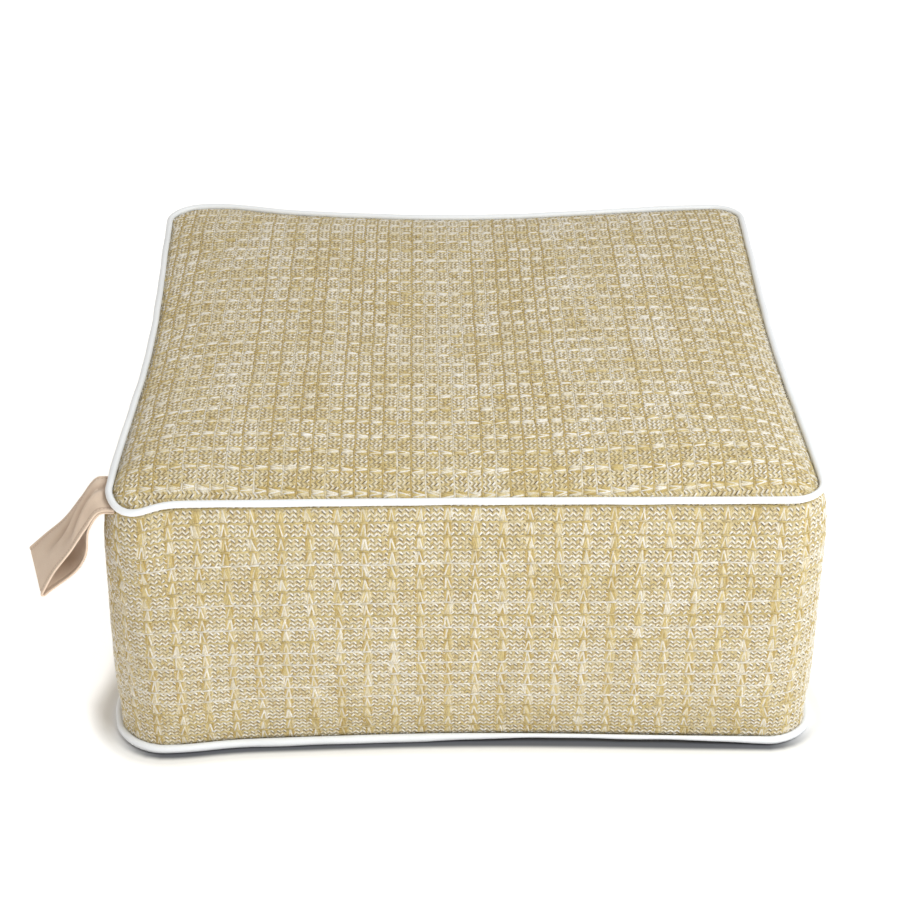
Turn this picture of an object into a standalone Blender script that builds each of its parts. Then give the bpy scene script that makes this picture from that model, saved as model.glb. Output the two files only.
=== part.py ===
"""Square pouf stool: a filled cushion with a piped top edge, a piped bottom edge and a folded tape handle.

Metres, +Z up. The origin is on the floor under the middle of the square. +X runs to the right along the
front edge, and the front faces -Y.
"""

import math

import bmesh
import bpy
from mathutils import Vector

# Driving dimensions
SIDE = 0.610  # the square plan, seam to seam
BAND_HEIGHT = 0.2526  # from the bottom seam line to the top one
PIPING_RADIUS = 0.004
GAP = 0.0003  # left between pieces that touch on the real thing
TAPE_WIDTH = 0.049
TAPE_THICKNESS = 0.002

# The cushion's mesh
PANEL_CELLS = 28  # across a panel, and along each side of the band
BAND_CELLS = 8  # up the band
CORNER_CROWDING = 0.28  # how much closer the cells lie near a corner than along a side
RING_POWER = 1.845  # how much closer a panel's rings lie near its seam than at its middle

# Seam valleys, in which the piping lies
VALLEY = 0.0052  # from the piping's centre in to the bottom of the valley
VALLEY_DROP = 0.0006  # the valley's bottom lies this far inside the piping's centre line
LIP_OUT, LIP_DOWN = -0.0018, 0.0056  # where the band's cloth comes out past the piping
BAND_ROLL = 0.010  # the height in which the band rounds out of the valley
OVERHANG_TOP, OVERHANG_BASE = 0.0055, -0.0015  # how far the band stands out past each seam
BAND_BULGE = 0.006  # how much further it swells half way up, in the middle of a side
CORNER_SHARE = 0.25  # the part of that swelling which is left at a corner

CORNER_REACH = 0.045  # how far an uneven corner reaches into a panel

# The top panel's crown
CROWN_FRONT, CROWN_BACK = 0.0235, 0.0060
CROWN_ROLL = 0.019  # the distance from the seam in which most of the crown rises
DISH_DEPTH = 0.0125  # the sat-on hollow
DISH_X, DISH_Y = -0.020, 0.026
DISH_WIDTH, DISH_LENGTH = 0.115, 0.115

FRONT, RIGHT, BACK, LEFT = range(4)
ALONG = (Vector((1, 0, 0)), Vector((0, 1, 0)), Vector((-1, 0, 0)), Vector((0, -1, 0)))
OUTWARD = (Vector((0, -1, 0)), Vector((1, 0, 0)), Vector((0, 1, 0)), Vector((-1, 0, 0)))

# How far each seam is drawn in and sags at the middle of a side
TOP_SEAM = {
    "height": PIPING_RADIUS + BAND_HEIGHT,
    "corner_radius": 0.030,
    "sides": {
        #        drawn in, sag
        FRONT: (0.0090, 0.0045),
        RIGHT: (0.0050, 0.0040),
        BACK: (0.0150, 0.0040),
        LEFT: (0.0075, 0.0040),
    },
    "corners": (
        # side, from its middle, pushed out, dropped, spread
        (FRONT, -0.285, 0.0040, 0.0065, 0.022),
        (BACK, 0.250, 0.0050, -0.0025, 0.045),
    ),
}
BASE_SEAM = {
    "height": PIPING_RADIUS,
    "corner_radius": 0.036,
    "sides": {
        FRONT: (0.0080, 0.0),
        RIGHT: (0.0050, 0.0),
        BACK: (0.0080, 0.0),
        LEFT: (0.0050, 0.0),
    },
    "corners": (
        (FRONT, -0.262, 0.0060, 0.0, 0.040),
        (LEFT, 0.245, 0.0120, 0.0, 0.045),
        (RIGHT, -0.255, 0.0070, 0.0, 0.045),
    ),
}

# The handle is a tape folded double, both ends sewn in under the top piping
HANDLE_SIDE, HANDLE_MIDDLE = LEFT, 0.2745  # the middle of its root, along the left side
HANDLE_ROOT_OUT = 0.0008  # from the seam line out to its sewn ends
HANDLE_ROOT_DOWN = PIPING_RADIUS + GAP + TAPE_THICKNESS / 2
HANDLE_GAP = 0.0006  # between its two layers at the root
FOLD_RADIUS = 0.0019
ARCH_TOWARDS = Vector((-0.6, -0.2, 0.77))  # the way in which its middle arches
HANDLE_STATIONS = (
    # x, y and z of the outer layer's middle; turn of its width about Z and its tip below level, in degrees;
    # how much its middle arches; how far the inner layer lies off at the front edge; how much more at the back
    (-0.3165, -0.2770, 0.2485, 9.0, 7.0, 0.0035, 0.0028, 0.0000),
    (-0.3282, -0.2790, 0.2325, 10.0, 5.0, 0.0045, 0.0036, 0.0030),
    (-0.3430, -0.2800, 0.2120, 12.0, 6.0, 0.0010, 0.0145, 0.0060),
    (-0.3600, -0.2785, 0.1925, 14.0, 14.0, 0.0010, 0.0165, 0.0060),
    (-0.3735, -0.2790, 0.1750, 18.0, 30.0, 0.0000, 2 * FOLD_RADIUS, 0.0000),
)
TAPE_CELLS_ALONG = 18  # in each layer
TAPE_CELLS_ACROSS = 6
FOLD_CELLS = 4
SLOPE_STEP = 0.05  # half the stretch over which the tape's slope is taken

STRAW = (0.60, 0.48, 0.26, 1.0)
WHITE = (0.86, 0.86, 0.85, 1.0)
BLUSH = (0.56, 0.42, 0.33, 1.0)


def clear_scene():
    for ob in list(bpy.data.objects):
        bpy.data.objects.remove(ob, do_unlink=True)


def make_material(name, colour, roughness):
    material = bpy.data.materials.new(name)
    material.use_nodes = True
    shader = material.node_tree.nodes["Principled BSDF"]
    shader.inputs["Base Color"].default_value = colour
    shader.inputs["Roughness"].default_value = roughness
    shader.inputs["Metallic"].default_value = 0.0
    return material


def add_object(name, data, material, collection):
    ob = bpy.data.objects.new(name, data)
    ob.data.materials.append(material)
    collection.objects.link(ob)
    return ob


def half_length(half, radius):
    """From a rounded square's side's middle to the middle of its corner."""
    return half - radius + radius * math.pi / 4


def rounded_square(side, along, half, radius):
    """A point of the outline and its outward normal. along is the distance from the side's middle."""
    straight = half - radius
    turn = max(0.0, (abs(along) - straight) / radius)
    reach = min(abs(along), straight) + radius * math.sin(turn)
    across = ALONG[side] * math.copysign(1.0, along)
    point = across * reach + OUTWARD[side] * (straight + radius * math.cos(turn))
    return point, across * math.sin(turn) + OUTWARD[side] * math.cos(turn)


def loop_distance(seam, side, along, other_side, other_along):
    """The distance along the seam between two of its points."""
    quarter = 2 * half_length(SIDE / 2, seam["corner_radius"])
    apart = abs((side - other_side) * quarter + along - other_along)
    return min(apart, 4 * quarter - apart)


def seam_shift(seam, side, along, inset=0.0):
    """How far the seam, or cloth inset from it, leaves its rounded square: drawn in and sagging along a side,
    uneven at a corner."""
    half = SIDE / 2
    _, normal = rounded_square(side, along, half, seam["corner_radius"])
    bow = math.cos(math.pi / 2 * along / half_length(half, seam["corner_radius"])) ** 2 * (1 - inset / half)
    drawn_in, sag = seam["sides"][side]
    shift = -OUTWARD[side] * drawn_in * bow
    shift.z -= sag * bow
    for corner_side, corner_along, pushed, dropped, spread in seam["corners"]:
        apart = loop_distance(seam, side, along, corner_side, corner_along)
        near = math.exp(-((apart / spread) ** 2) - inset / CORNER_REACH)
        shift += normal * pushed * near
        shift.z -= dropped * near
    return shift


def seam_point(seam, side, along):
    """A point of the seam line, which is the piping's centre, and the outward normal there."""
    point, normal = rounded_square(side, along, SIDE / 2, seam["corner_radius"])
    point.z = seam["height"]
    return point + seam_shift(seam, side, along), normal


def panel_point(seam, side, part, inset):
    """A point of a panel's plan, inset from the seam, at the seam's own height. part runs from -1 to 1."""
    half = SIDE / 2
    radius = seam["corner_radius"] * math.exp(-inset / seam["corner_radius"])
    inner = max(half - inset, 0.0)
    radius = min(radius, inner)
    point = Vector()
    if inner:
        point, _ = rounded_square(side, part * half_length(inner, radius), inner, radius)
    along = part * half_length(half, seam["corner_radius"])
    point.z = seam["height"]
    return point + seam_shift(seam, side, along, inset)


def crown(x, y, inset):
    """The top panel's height over its seam."""
    share = 0.5 + y / SIDE
    full = CROWN_FRONT + (CROWN_BACK - CROWN_FRONT) * share
    hollow = DISH_DEPTH * math.exp(-(((x - DISH_X) / DISH_WIDTH) ** 2) - ((y - DISH_Y) / DISH_LENGTH) ** 2)
    rise = 1 - math.exp(-max(inset - VALLEY, 0.0) / CROWN_ROLL)
    return full * rise - hollow


def grid_place(x, y):
    """The side, the part along it and the ring of a point of the grid from -1 to 1."""
    ring = max(abs(x), abs(y))
    if ring == 0:
        return FRONT, 0.0, 0.0
    if abs(y) >= abs(x):
        side, part = (FRONT, x / ring) if y < 0 else (BACK, -x / ring)
    else:
        side, part = (RIGHT, y / ring) if x > 0 else (LEFT, -y / ring)
    return side, part * (1 + CORNER_CROWDING * (1 - part * part)), ring


def ring_inset(ring):
    return VALLEY + (SIDE / 2 - VALLEY) * (1 - ring) ** RING_POWER


def top_point(side, part, ring):
    inset = ring_inset(ring)
    point = panel_point(TOP_SEAM, side, part, inset)
    point.z += crown(point.x, point.y, inset)
    if ring == 1:
        point.z -= VALLEY_DROP
    return point


def base_point(side, part, ring):
    point = panel_point(BASE_SEAM, side, part, ring_inset(ring))
    point.z = PIPING_RADIUS + VALLEY_DROP if ring == 1 else 0.0
    return point


def band_point(side, part, level):
    """A point of the side band. level runs from 0 at the bottom seam to 1 at the top one."""
    ends = [
        seam_point(seam, side, part * half_length(SIDE / 2, seam["corner_radius"]))
        for seam in (BASE_SEAM, TOP_SEAM)
    ]
    (low, low_normal), (high, high_normal) = ends
    normal = (low_normal * (1 - level) + high_normal * level).normalized()
    height = high.z - low.z
    below = LIP_DOWN + (height - 2 * LIP_DOWN) * (1 - level)
    nearest = min(below, height - below)
    rounded = 1 - math.exp(-(nearest - LIP_DOWN) / BAND_ROLL)
    overhang = OVERHANG_TOP + (OVERHANG_BASE - OVERHANG_TOP) * below / height
    bulge = BAND_BULGE * (1 - (1 - CORNER_SHARE) * part * part)
    swell = overhang + bulge * math.sin(math.pi * below / height)
    point = low.lerp(high, 1 - below / height)
    return point + normal * (LIP_OUT + (swell - LIP_OUT) * rounded)


def make_cushion(material, collection):
    """The filled cushion: a grid for the base, drawn up into a box, and each point moved to its place."""
    bm = bmesh.new()
    bmesh.ops.create_grid(bm, x_segments=PANEL_CELLS, y_segments=PANEL_CELLS, size=1)
    drawn = bmesh.ops.extrude_face_region(bm, geom=bm.faces[:])
    for v in (g for g in drawn["geom"] if isinstance(g, bmesh.types.BMVert)):
        v.co.z = 1
    upright = [e for e in bm.edges if abs(e.verts[0].co.z - e.verts[1].co.z) > 0.5]
    bmesh.ops.subdivide_edges(bm, edges=upright, cuts=BAND_CELLS - 1, use_grid_fill=True)
    for v in bm.verts:
        side, part, ring = grid_place(v.co.x, v.co.y)
        level = round(v.co.z * BAND_CELLS)
        if level == BAND_CELLS:
            v.co = top_point(side, part, ring)
        elif level == 0:
            v.co = base_point(side, part, ring)
        else:
            v.co = band_point(side, part, (level - 1) / (BAND_CELLS - 2))
    flat = [f for f in bm.faces if all(v.co.z == 0 for v in f.verts)]
    bmesh.ops.dissolve_faces(bm, faces=flat, use_verts=True)
    bmesh.ops.recalc_face_normals(bm, faces=bm.faces[:])
    mesh = bpy.data.meshes.new("cushion")
    bm.to_mesh(mesh)
    bm.free()
    mesh.shade_smooth()
    return add_object("cushion", mesh, material, collection)


def make_piping(name, seam, material, collection):
    """A cord in its casing, a closed tube along the seam."""
    curve = bpy.data.curves.new(name, "CURVE")
    curve.dimensions = "3D"
    curve.bevel_depth = PIPING_RADIUS
    curve.bevel_resolution = 2
    points = []
    for side in (FRONT, RIGHT, BACK, LEFT):
        for cell in range(PANEL_CELLS):
            x = -1 + 2 * cell / PANEL_CELLS
            part = x * (1 + CORNER_CROWDING * (1 - x * x))
            points.append(seam_point(seam, side, part * half_length(SIDE / 2, seam["corner_radius"]))[0])
    spline = curve.splines.new("POLY")
    spline.points.add(len(points) - 1)
    for spot, point in zip(spline.points, points):
        spot.co = (*point, 1)
    spline.use_cyclic_u = True
    return add_object(name, curve, material, collection)


def smooth_between(rows, place):
    """A Catmull-Rom curve through rows of vectors, place counting the rows."""
    first = min(int(place), len(rows) - 2)
    t = place - first
    before, start, end, after = (rows[min(max(first + k, 0), len(rows) - 1)] for k in (-1, 0, 1, 2))
    return (
        start * 2
        + (end - before) * t
        + (before * 2 - start * 5 + end * 4 - after) * t**2
        + (start * 3 - before - end * 3 + after) * t**3
    ) / 2


def handle_root(across):
    """A point of the sewn end of the outer layer. across runs from -1 at the back to 1 at the front."""
    along = HANDLE_MIDDLE + across * TAPE_WIDTH / 2
    quarter = half_length(SIDE / 2, TOP_SEAM["corner_radius"])
    if along > quarter:
        point, normal = seam_point(TOP_SEAM, FRONT, along - 2 * quarter)
    else:
        point, normal = seam_point(TOP_SEAM, HANDLE_SIDE, along)
    return point + normal * HANDLE_ROOT_OUT - Vector((0, 0, HANDLE_ROOT_DOWN))


def station_point(station, across):
    x, y, z, turn, tip, arch = station[:6]
    turn, tip = math.radians(turn), math.radians(tip)
    width = Vector((math.sin(turn) * math.cos(tip), -math.cos(turn) * math.cos(tip), -math.sin(tip)))
    raised = ARCH_TOWARDS * arch * (1 - across * across)
    return Vector((x, y, z)) + width * across * TAPE_WIDTH / 2 + raised


def outer_layer(place, across):
    """A point of the outer layer. place is 0 at the root and counts the stations to the fold."""
    rows = [handle_root(across)] + [station_point(s, across) for s in HANDLE_STATIONS]
    return smooth_between(rows, place)


def handle_point(place, across):
    """A point of the tape. place runs out along the outer layer, round the fold and back along the inner."""
    last = len(HANDLE_STATIONS)
    out = min(place, 2 * last + 1 - place, last)
    point = outer_layer(out, across)
    forward = outer_layer(min(out + SLOPE_STEP, last), across) - outer_layer(max(out - SLOPE_STEP, 0), across)
    width = outer_layer(out, min(across + SLOPE_STEP, 1)) - outer_layer(out, max(across - SLOPE_STEP, -1))
    forward.normalize()
    normal = forward.cross(width).normalized()
    if place <= last:
        return point
    if place < last + 1:
        turn = math.pi * (place - last)
        return point - normal * FOLD_RADIUS * (1 - math.cos(turn)) + forward * FOLD_RADIUS * math.sin(turn)
    offs = [Vector((TAPE_THICKNESS + HANDLE_GAP, 0))] + [Vector(s[6:]) for s in HANDLE_STATIONS]
    off = smooth_between(offs, out)
    return point - normal * (off.x + off.y * (1 - across) / 2)


def make_handle(material, collection):
    """The tape, an open sheet folded double and thickened."""
    last = len(HANDLE_STATIONS)
    cells = 2 * TAPE_CELLS_ALONG + FOLD_CELLS
    bm = bmesh.new()
    bmesh.ops.create_grid(bm, x_segments=cells, y_segments=TAPE_CELLS_ACROSS, size=1)
    for v in bm.verts:
        cell = round((v.co.x + 1) / 2 * cells)
        if cell <= TAPE_CELLS_ALONG:
            place = last * cell / TAPE_CELLS_ALONG
        elif cell <= TAPE_CELLS_ALONG + FOLD_CELLS:
            place = last + (cell - TAPE_CELLS_ALONG) / FOLD_CELLS
        else:
            place = last + 1 + last * (cell - TAPE_CELLS_ALONG - FOLD_CELLS) / TAPE_CELLS_ALONG
        v.co = handle_point(place, v.co.y)
    mesh = bpy.data.meshes.new("handle_strap")
    bm.to_mesh(mesh)
    bm.free()
    mesh.shade_smooth()
    ob = add_object("handle_strap", mesh, material, collection)
    thicken = ob.modifiers.new("thickness", "SOLIDIFY")
    thicken.thickness = TAPE_THICKNESS
    thicken.offset = 0
    thicken.use_even_offset = True
    return ob


def main():
    clear_scene()
    collection = bpy.data.collections.new("pouf_stool")
    bpy.context.scene.collection.children.link(collection)
    make_cushion(make_material("woven_cloth", STRAW, 0.85), collection)
    white = make_material("white_piping", WHITE, 0.55)
    make_piping("piping_top", TOP_SEAM, white, collection)
    make_piping("piping_base", BASE_SEAM, white, collection)
    make_handle(make_material("blush_tape", BLUSH, 0.75), collection)


main()
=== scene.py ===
"""Square pouf stool: a woven cover over its filling, white piping round both edges, a folded tape loop.

Metres, +Z up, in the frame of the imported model: +X runs to the right along the front edge, +Y back.
The cloth's own coordinates are u across its thick bundles and v along them, also in metres.
"""

import itertools
from math import copysign, cos, exp, hypot, pi, radians, sin

import bpy
import numpy as np
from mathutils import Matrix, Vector
from mathutils.bvhtree import BVHTree


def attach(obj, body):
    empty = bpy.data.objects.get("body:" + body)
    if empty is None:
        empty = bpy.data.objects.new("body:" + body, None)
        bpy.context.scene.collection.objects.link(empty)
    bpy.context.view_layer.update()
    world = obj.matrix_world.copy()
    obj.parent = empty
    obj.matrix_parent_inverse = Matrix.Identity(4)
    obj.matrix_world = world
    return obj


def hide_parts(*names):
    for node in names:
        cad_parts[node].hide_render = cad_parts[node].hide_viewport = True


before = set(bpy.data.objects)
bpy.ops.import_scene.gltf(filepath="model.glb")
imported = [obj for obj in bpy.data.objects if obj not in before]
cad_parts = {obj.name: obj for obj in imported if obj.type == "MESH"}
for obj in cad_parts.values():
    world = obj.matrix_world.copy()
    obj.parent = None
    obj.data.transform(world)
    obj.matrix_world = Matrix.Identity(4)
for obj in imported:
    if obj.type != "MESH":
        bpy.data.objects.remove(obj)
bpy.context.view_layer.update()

# The form, as in the part
SIDE = 0.610
BAND_HEIGHT = 0.2526
PIPING_RADIUS = 0.004
GAP = 0.0003
TAPE_WIDTH = 0.049
TAPE_THICKNESS = 0.002
BAND_ROLL = 0.010
OVERHANG_TOP, OVERHANG_BASE = 0.0055, -0.0015
BAND_BULGE = 0.006
CORNER_SHARE = 0.25
CORNER_REACH = 0.045
CROWN_FRONT, CROWN_BACK = 0.0235, 0.0060
CROWN_ROLL = 0.019
DISH_DEPTH = 0.0125
DISH_X, DISH_Y = -0.020, 0.026
DISH_WIDTH, DISH_LENGTH = 0.115, 0.115

# Here the cloth runs right up to the piping
VALLEY = 0.0036
VALLEY_DROP = 0.0006
LIP_OUT, LIP_DOWN = -0.0012, 0.0034

FRONT, RIGHT, BACK, LEFT = range(4)
ALONG = (Vector((1, 0, 0)), Vector((0, 1, 0)), Vector((-1, 0, 0)), Vector((0, -1, 0)))
OUTWARD = (Vector((0, -1, 0)), Vector((1, 0, 0)), Vector((0, 1, 0)), Vector((-1, 0, 0)))

TOP_SEAM = {
    "height": PIPING_RADIUS + BAND_HEIGHT,
    "corner_radius": 0.030,
    # how far each side is drawn in, and sags
    "sides": ((0.0090, 0.0045), (0.0050, 0.0040), (0.0150, 0.0040), (0.0075, 0.0040)),
    "corners": (
        # side, from its middle, pushed out, dropped, spread
        (FRONT, -0.285, 0.0040, 0.0065, 0.022),
        (BACK, 0.250, 0.0050, -0.0025, 0.045),
    ),
}
BASE_SEAM = {
    "height": PIPING_RADIUS,
    "corner_radius": 0.036,
    "sides": ((0.0080, 0.0), (0.0050, 0.0), (0.0080, 0.0), (0.0050, 0.0)),
    "corners": (
        (FRONT, -0.262, 0.0060, 0.0, 0.040),
        (LEFT, 0.245, 0.0120, 0.0, 0.045),
        (RIGHT, -0.255, 0.0070, 0.0, 0.045),
    ),
}

HANDLE_SIDE, HANDLE_MIDDLE = LEFT, 0.2745
HANDLE_ROOT_OUT = 0.0008
HANDLE_ROOT_DOWN = PIPING_RADIUS + GAP + TAPE_THICKNESS / 2
HANDLE_GAP = 0.0006
FOLD_RADIUS = 0.0019
ARCH_TOWARDS = Vector((-0.6, -0.2, 0.77))
HANDLE_STATIONS = (
    # x, y and z of the outer layer's middle; its width's turn about Z and tip below level, in degrees;
    # how far its middle arches; how far off the inner layer lies in front, and how much more behind
    (-0.3165, -0.2770, 0.2485, 9.0, 7.0, 0.0035, 0.0028, 0.0000),
    (-0.3282, -0.2790, 0.2325, 10.0, 5.0, 0.0045, 0.0036, 0.0030),
    (-0.3430, -0.2800, 0.2120, 12.0, 6.0, 0.0010, 0.0145, 0.0060),
    (-0.3600, -0.2785, 0.1925, 14.0, 14.0, 0.0010, 0.0165, 0.0060),
    (-0.3735, -0.2790, 0.1750, 18.0, 30.0, 0.0000, 2 * FOLD_RADIUS, 0.0000),
)
LAST_STATION = len(HANDLE_STATIONS)
SLOPE_STEP = 0.05
HANDLE_CREASES = (
    # from place, across; to place, across; rise; width as a share of half the tape's
    (0.0, -0.45, 3.2, 0.32, -0.0036, 0.24),
    (0.1, 0.05, 2.8, 0.70, 0.0026, 0.20),
    (0.8, -0.95, 4.2, -0.10, -0.0034, 0.19),
    (1.2, -0.45, 4.0, 0.18, 0.0014, 0.14),
)

# The cover's meshes. The final ones have twice the cells and levels of the simulated ones
CLOTH_CELLS = 60  # across a panel and along a side
BAND_LEVELS = 26
CORNER_CROWDING = 0.28
LEVEL_CROWDING = 0.28
RING_POWER = 1.25
CLOTH_THICKNESS = 0.0012
GROUND_DEPTH = 0.0007  # the cloth lies in from the solid's faces, for its raised yarns

# The filled cover, let settle between its seams
SETTLE_FRAMES = 14
CLOTH_SETTINGS = {
    "quality": 5,
    "mass": 0.02,
    "tension_stiffness": 15.0,
    "compression_stiffness": 15.0,
    "shear_stiffness": 5.0,
    "bending_stiffness": 0.1,
    "shrink_min": -0.012,  # the cloth is that much longer than the faces it covers
    "vertex_group_mass": "held",
    "use_pressure": True,
    "uniform_pressure_force": 5.0,
}
FORM_ROUNDS = 30  # of averaging, which leave the settled cloth's form
FOLD_ROUNDS = 4  # of averaging, which leave its form and folds
FOLD_LIMIT = 0.0020

# The weave
BUNDLE_WIDTH = 0.0074
BAND_BUNDLES = 102  # round the whole band
BAND_LINE_PITCH = 0.0134
BAND_LINE_CLOSING = 0.16  # the lines lie closer down the band, by twice this share for each metre
BAND_BUNDLE_X, BAND_LINE_Z = -0.0639, 0.2333  # one bundle and one thin line on the front
TOP_BUNDLE_PITCH = 0.0240
TOP_LINE_PITCH = 0.01215
TOP_BUNDLE_Y, TOP_LINE_X = -0.2900, -0.0838
ZIGZAG_ROWS = 3  # between two thin lines
STROKES = 8  # in a bundle's pitch, of which six lie in the block between two bundles
ZIGZAG_HEIGHT = 0.0028  # from its low to its high turns
STROKE_WIDTH, STROKE_RISE = 0.0017, 0.0009
STROKE_OVERLAP = 0.06  # past its turns, as a share of its length
YARN_TIP = -0.0002  # how deep a yarn's ends and sides lie in the ground
RIDGE_END = 0.24  # where a yarn's ridge starts, as a share of its length
PINCH = 0.95  # a yarn's width at its ends
YARN_CORNERS = ((0, 1), (0, -1), (RIDGE_END, 0), (1 - RIDGE_END, 0), (1, 1), (1, -1))  # along, aside
YARN_FACES = np.array((
    (0, 1, 2), (0, 2, 3), (0, 3, 4), (1, 5, 3),
    (1, 3, 2), (4, 3, 5), (0, 4, 5), (0, 5, 1),
))
YARN_RUN = 0.12  # a yarn's length on its map
SHADE_WIDTH = 0.004  # half a yarn's width on its map
TOP_MAP_STEP = 0.0025
SELVAGE = 0.0030  # a yarn whose middle lies further off its cloth is left out

BUNDLE_FORMS = (
    # from u and v up the repeat, and to u and v, in half widths and pitches; width; rise; shades
    ((-0.70, 1.00), (-0.95, 0.22), 0.0027, 0.0008, (0.62, 1.00)),
    ((0.66, 1.00), (0.95, 0.22), 0.0027, 0.0008, (0.45, 1.00)),
    ((0.00, 0.70), (0.05, 0.02), 0.0034, 0.0009, (0.35, 0.95)),
    ((0.08, 0.98), (-0.66, 0.03), 0.0020, 0.0012, (0.16, 0.48)),
    ((-0.08, 0.98), (0.66, 0.03), 0.0020, 0.0012, (0.14, 0.44)),
)

# How single yarns differ: the scatter of their ends, and shares of their widths and rises
STROKE_SCATTER, STROKE_SPANS = 0.00025, ((0.8, 1.2), (0.7, 1.3))
BUNDLE_SCATTER, BUNDLE_SPANS = 0.0007, ((0.75, 1.25), (0.75, 1.2))
LINE_SCATTER, LINE_SPANS = 0.0003, ((0.8, 1.2), (0.8, 1.2))
BUNDLE_LEAN = 0.35  # of half its width
SWAPPED = 0.12  # the share of a bundle's yarns that are pale in place of gold, or the reverse

# The yarns' shades, from 0 for ivory to 1 for gold
STROKE_SHADE, STROKE_SHADES, STROKE_POWERS = 0.13, 0.8, (0.8, 3.2)  # least, span and beta distribution
STROKE_LEAN_SHADE, STROKE_LEAN_WIDTH = 0.16, 0.08
STROKE_PATCHES, BUNDLE_PATCHES = 0.15, 0.10  # how much more gold in the cloth's golden patches
LINE_SHADE, LINE_SPREAD = 0.5, 0.12
TOP_GILT = 0.13  # see make_yarns

# The painted shade in the gaps between the zigzag rows, partly the cloth's own dark colour: shares of
# the rows' pitch and of full darkness, then metres
GAP_SHIFT, GAP_OPENS, GAP_CLOSES = 0.30, (0.24, 0.34), (0.50, 0.60)
GAP_DARK, GAP_LEAN, GAP_CHANCE, TURN_DARK = 0.66, 0.34, (0.65, 1.05), 0.35
GAP_EDGE, TURN_REACH, LINE_REACH = 0.0004, (0.0002, 0.0007), (0.0006, 0.0012)

# The pipings, each a little uneven
TOP_PIPING_RADIUS, BASE_PIPING_RADIUS = 0.0032, 0.0039
PIPING_SIDES = 16
PIPING_PHASE = 9000  # for each metre of radius, so that the two differ
UNEVEN_LINE, UNEVEN_RADIUS = 0.00012, 0.018
CREASED_CELLS, CREASE_DEPTH = 7, 0.05  # at each corner
# The base one is thinner where it is turned under, right of the front's middle
THIN_SHARE, THIN_MIDDLE, THIN_REACH = 0.50, 0.125, 0.125

# The tape's mesh and its sewing
SEWN_AT, HEM_AT, HEM_REACH = 0.86, 0.965, 0.045  # as shares of half its width
HALF_BODY, HALF_RIM, HEM_RISE, GROOVE = 0.40, 0.25, 0.16, 0.22  # as shares of its thickness
STITCH_PITCH, STITCH_SHARE = 0.0032, 0.78
STITCH_WIDTH, STITCH_RISE = 0.0008, 0.0003
SEWING_START, SEWING_END = 0.004, 0.006  # from the tape's two ends
THREAD_PITCH = 0.0007
TAPE_CELLS_ALONG = 80
TAPE_CELLS_ACROSS = 26
FOLD_CELLS = 10
TAPE_CROWDING = 0.44

# The view of the photograph, whose frame is square
CAMERA_PLACE = Vector((-0.0364, -1.9197, 1.2369))
CAMERA_DOWN, CAMERA_RIGHT = radians(29.92), radians(0.775)
CAMERA_LENS = 89.63

# The studio
SKY, SKY_COLOUR = 0.59, (1.0, 0.946, 0.878, 1.0)
FLOOR_RINGS = (-0.10, -0.01, 0.0, 0.004, 0.008, 0.012, 0.02, 0.04, 0.08, 0.14, 0.4, 8.0, 40.0)
FLOOR_CELLS = 40  # along a side
FLOOR_GLOW = 0.62
FLOOR_SHADE = (0.006, 0.035)  # from where to where, off the pouf, the glow comes up
# A contact shadow is painted on the floor close by the pouf's front
PAINTED_SHADOW_REACH = (0.002, 0.009)  # and its close shadow fades, along the front
FLOOR_WHITE, FLOOR_PAINTED_SHADOW = (0.90, 0.90, 0.90, 1.0), (0.12, 0.125, 0.14, 1.0)
KEY_PLACE, KEY_TARGET = Vector((0.95, -1.10, 1.69)), Vector((0.05, -0.15, 0.2))
KEY_SIZE, KEY_POWER, KEY_COLOUR = 1.1, 28.0, (0.945, 0.985, 1.0)

random = np.random.default_rng(7)


# -------- the form of the pouf


def crowded(part, crowding):
    """A place from -1 to 1, moved towards its nearer end."""
    return part * (1 + crowding * (1 - part * part))


def crowded_places(cells, crowding):
    return [crowded(2 * cell / cells - 1, crowding) for cell in range(cells + 1)]


def outline_places(cells):
    """Places round the pouf, counter-clockwise: each one's side and part along it, from -1 to 1."""
    return list(itertools.product(range(4), crowded_places(cells, CORNER_CROWDING)[:-1]))


def half_length(half, radius):
    """From a rounded square's side's middle to the middle of its corner."""
    return half - radius + radius * pi / 4


def half_side(seam):
    """The same along a seam."""
    return half_length(SIDE / 2, seam["corner_radius"])


def rounded_square(side, along, half, radius):
    """A point of the outline and its outward normal. along runs from the side's middle."""
    straight = half - radius
    turn = max(0.0, (abs(along) - straight) / radius)
    reach = min(abs(along), straight) + radius * sin(turn)
    across = ALONG[side] * copysign(1.0, along)
    point = across * reach + OUTWARD[side] * (straight + radius * cos(turn))
    return point, across * sin(turn) + OUTWARD[side] * cos(turn)


def loop_distance(seam, side, along, other_side, other_along):
    """The distance along the seam between two of its points."""
    quarter = 2 * half_side(seam)
    apart = abs((side - other_side) * quarter + along - other_along)
    return min(apart, 4 * quarter - apart)


def seam_shift(seam, side, along, inset=0.0):
    """How far the seam, or cloth inset from it, leaves its rounded square: drawn in and sagging along a
    side, and uneven at corners."""
    half = SIDE / 2
    _, normal = rounded_square(side, along, half, seam["corner_radius"])
    bow = cos(pi / 2 * along / half_side(seam)) ** 2 * (1 - inset / half)
    drawn_in, sag = seam["sides"][side]
    shift = -OUTWARD[side] * drawn_in * bow
    shift.z -= sag * bow
    for corner_side, corner_along, pushed, dropped, spread in seam["corners"]:
        apart = loop_distance(seam, side, along, corner_side, corner_along)
        near = exp(-((apart / spread) ** 2) - inset / CORNER_REACH)
        shift += normal * pushed * near
        shift.z -= dropped * near
    return shift


def seam_point(seam, side, along):
    """A point of the seam line, which is the piping's centre, and the outward normal there."""
    point, normal = rounded_square(side, along, SIDE / 2, seam["corner_radius"])
    point.z = seam["height"]
    return point + seam_shift(seam, side, along), normal


def part_point(seam, side, part):
    """The same at a part of a side, from -1 to 1."""
    return seam_point(seam, side, part * half_side(seam))


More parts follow.
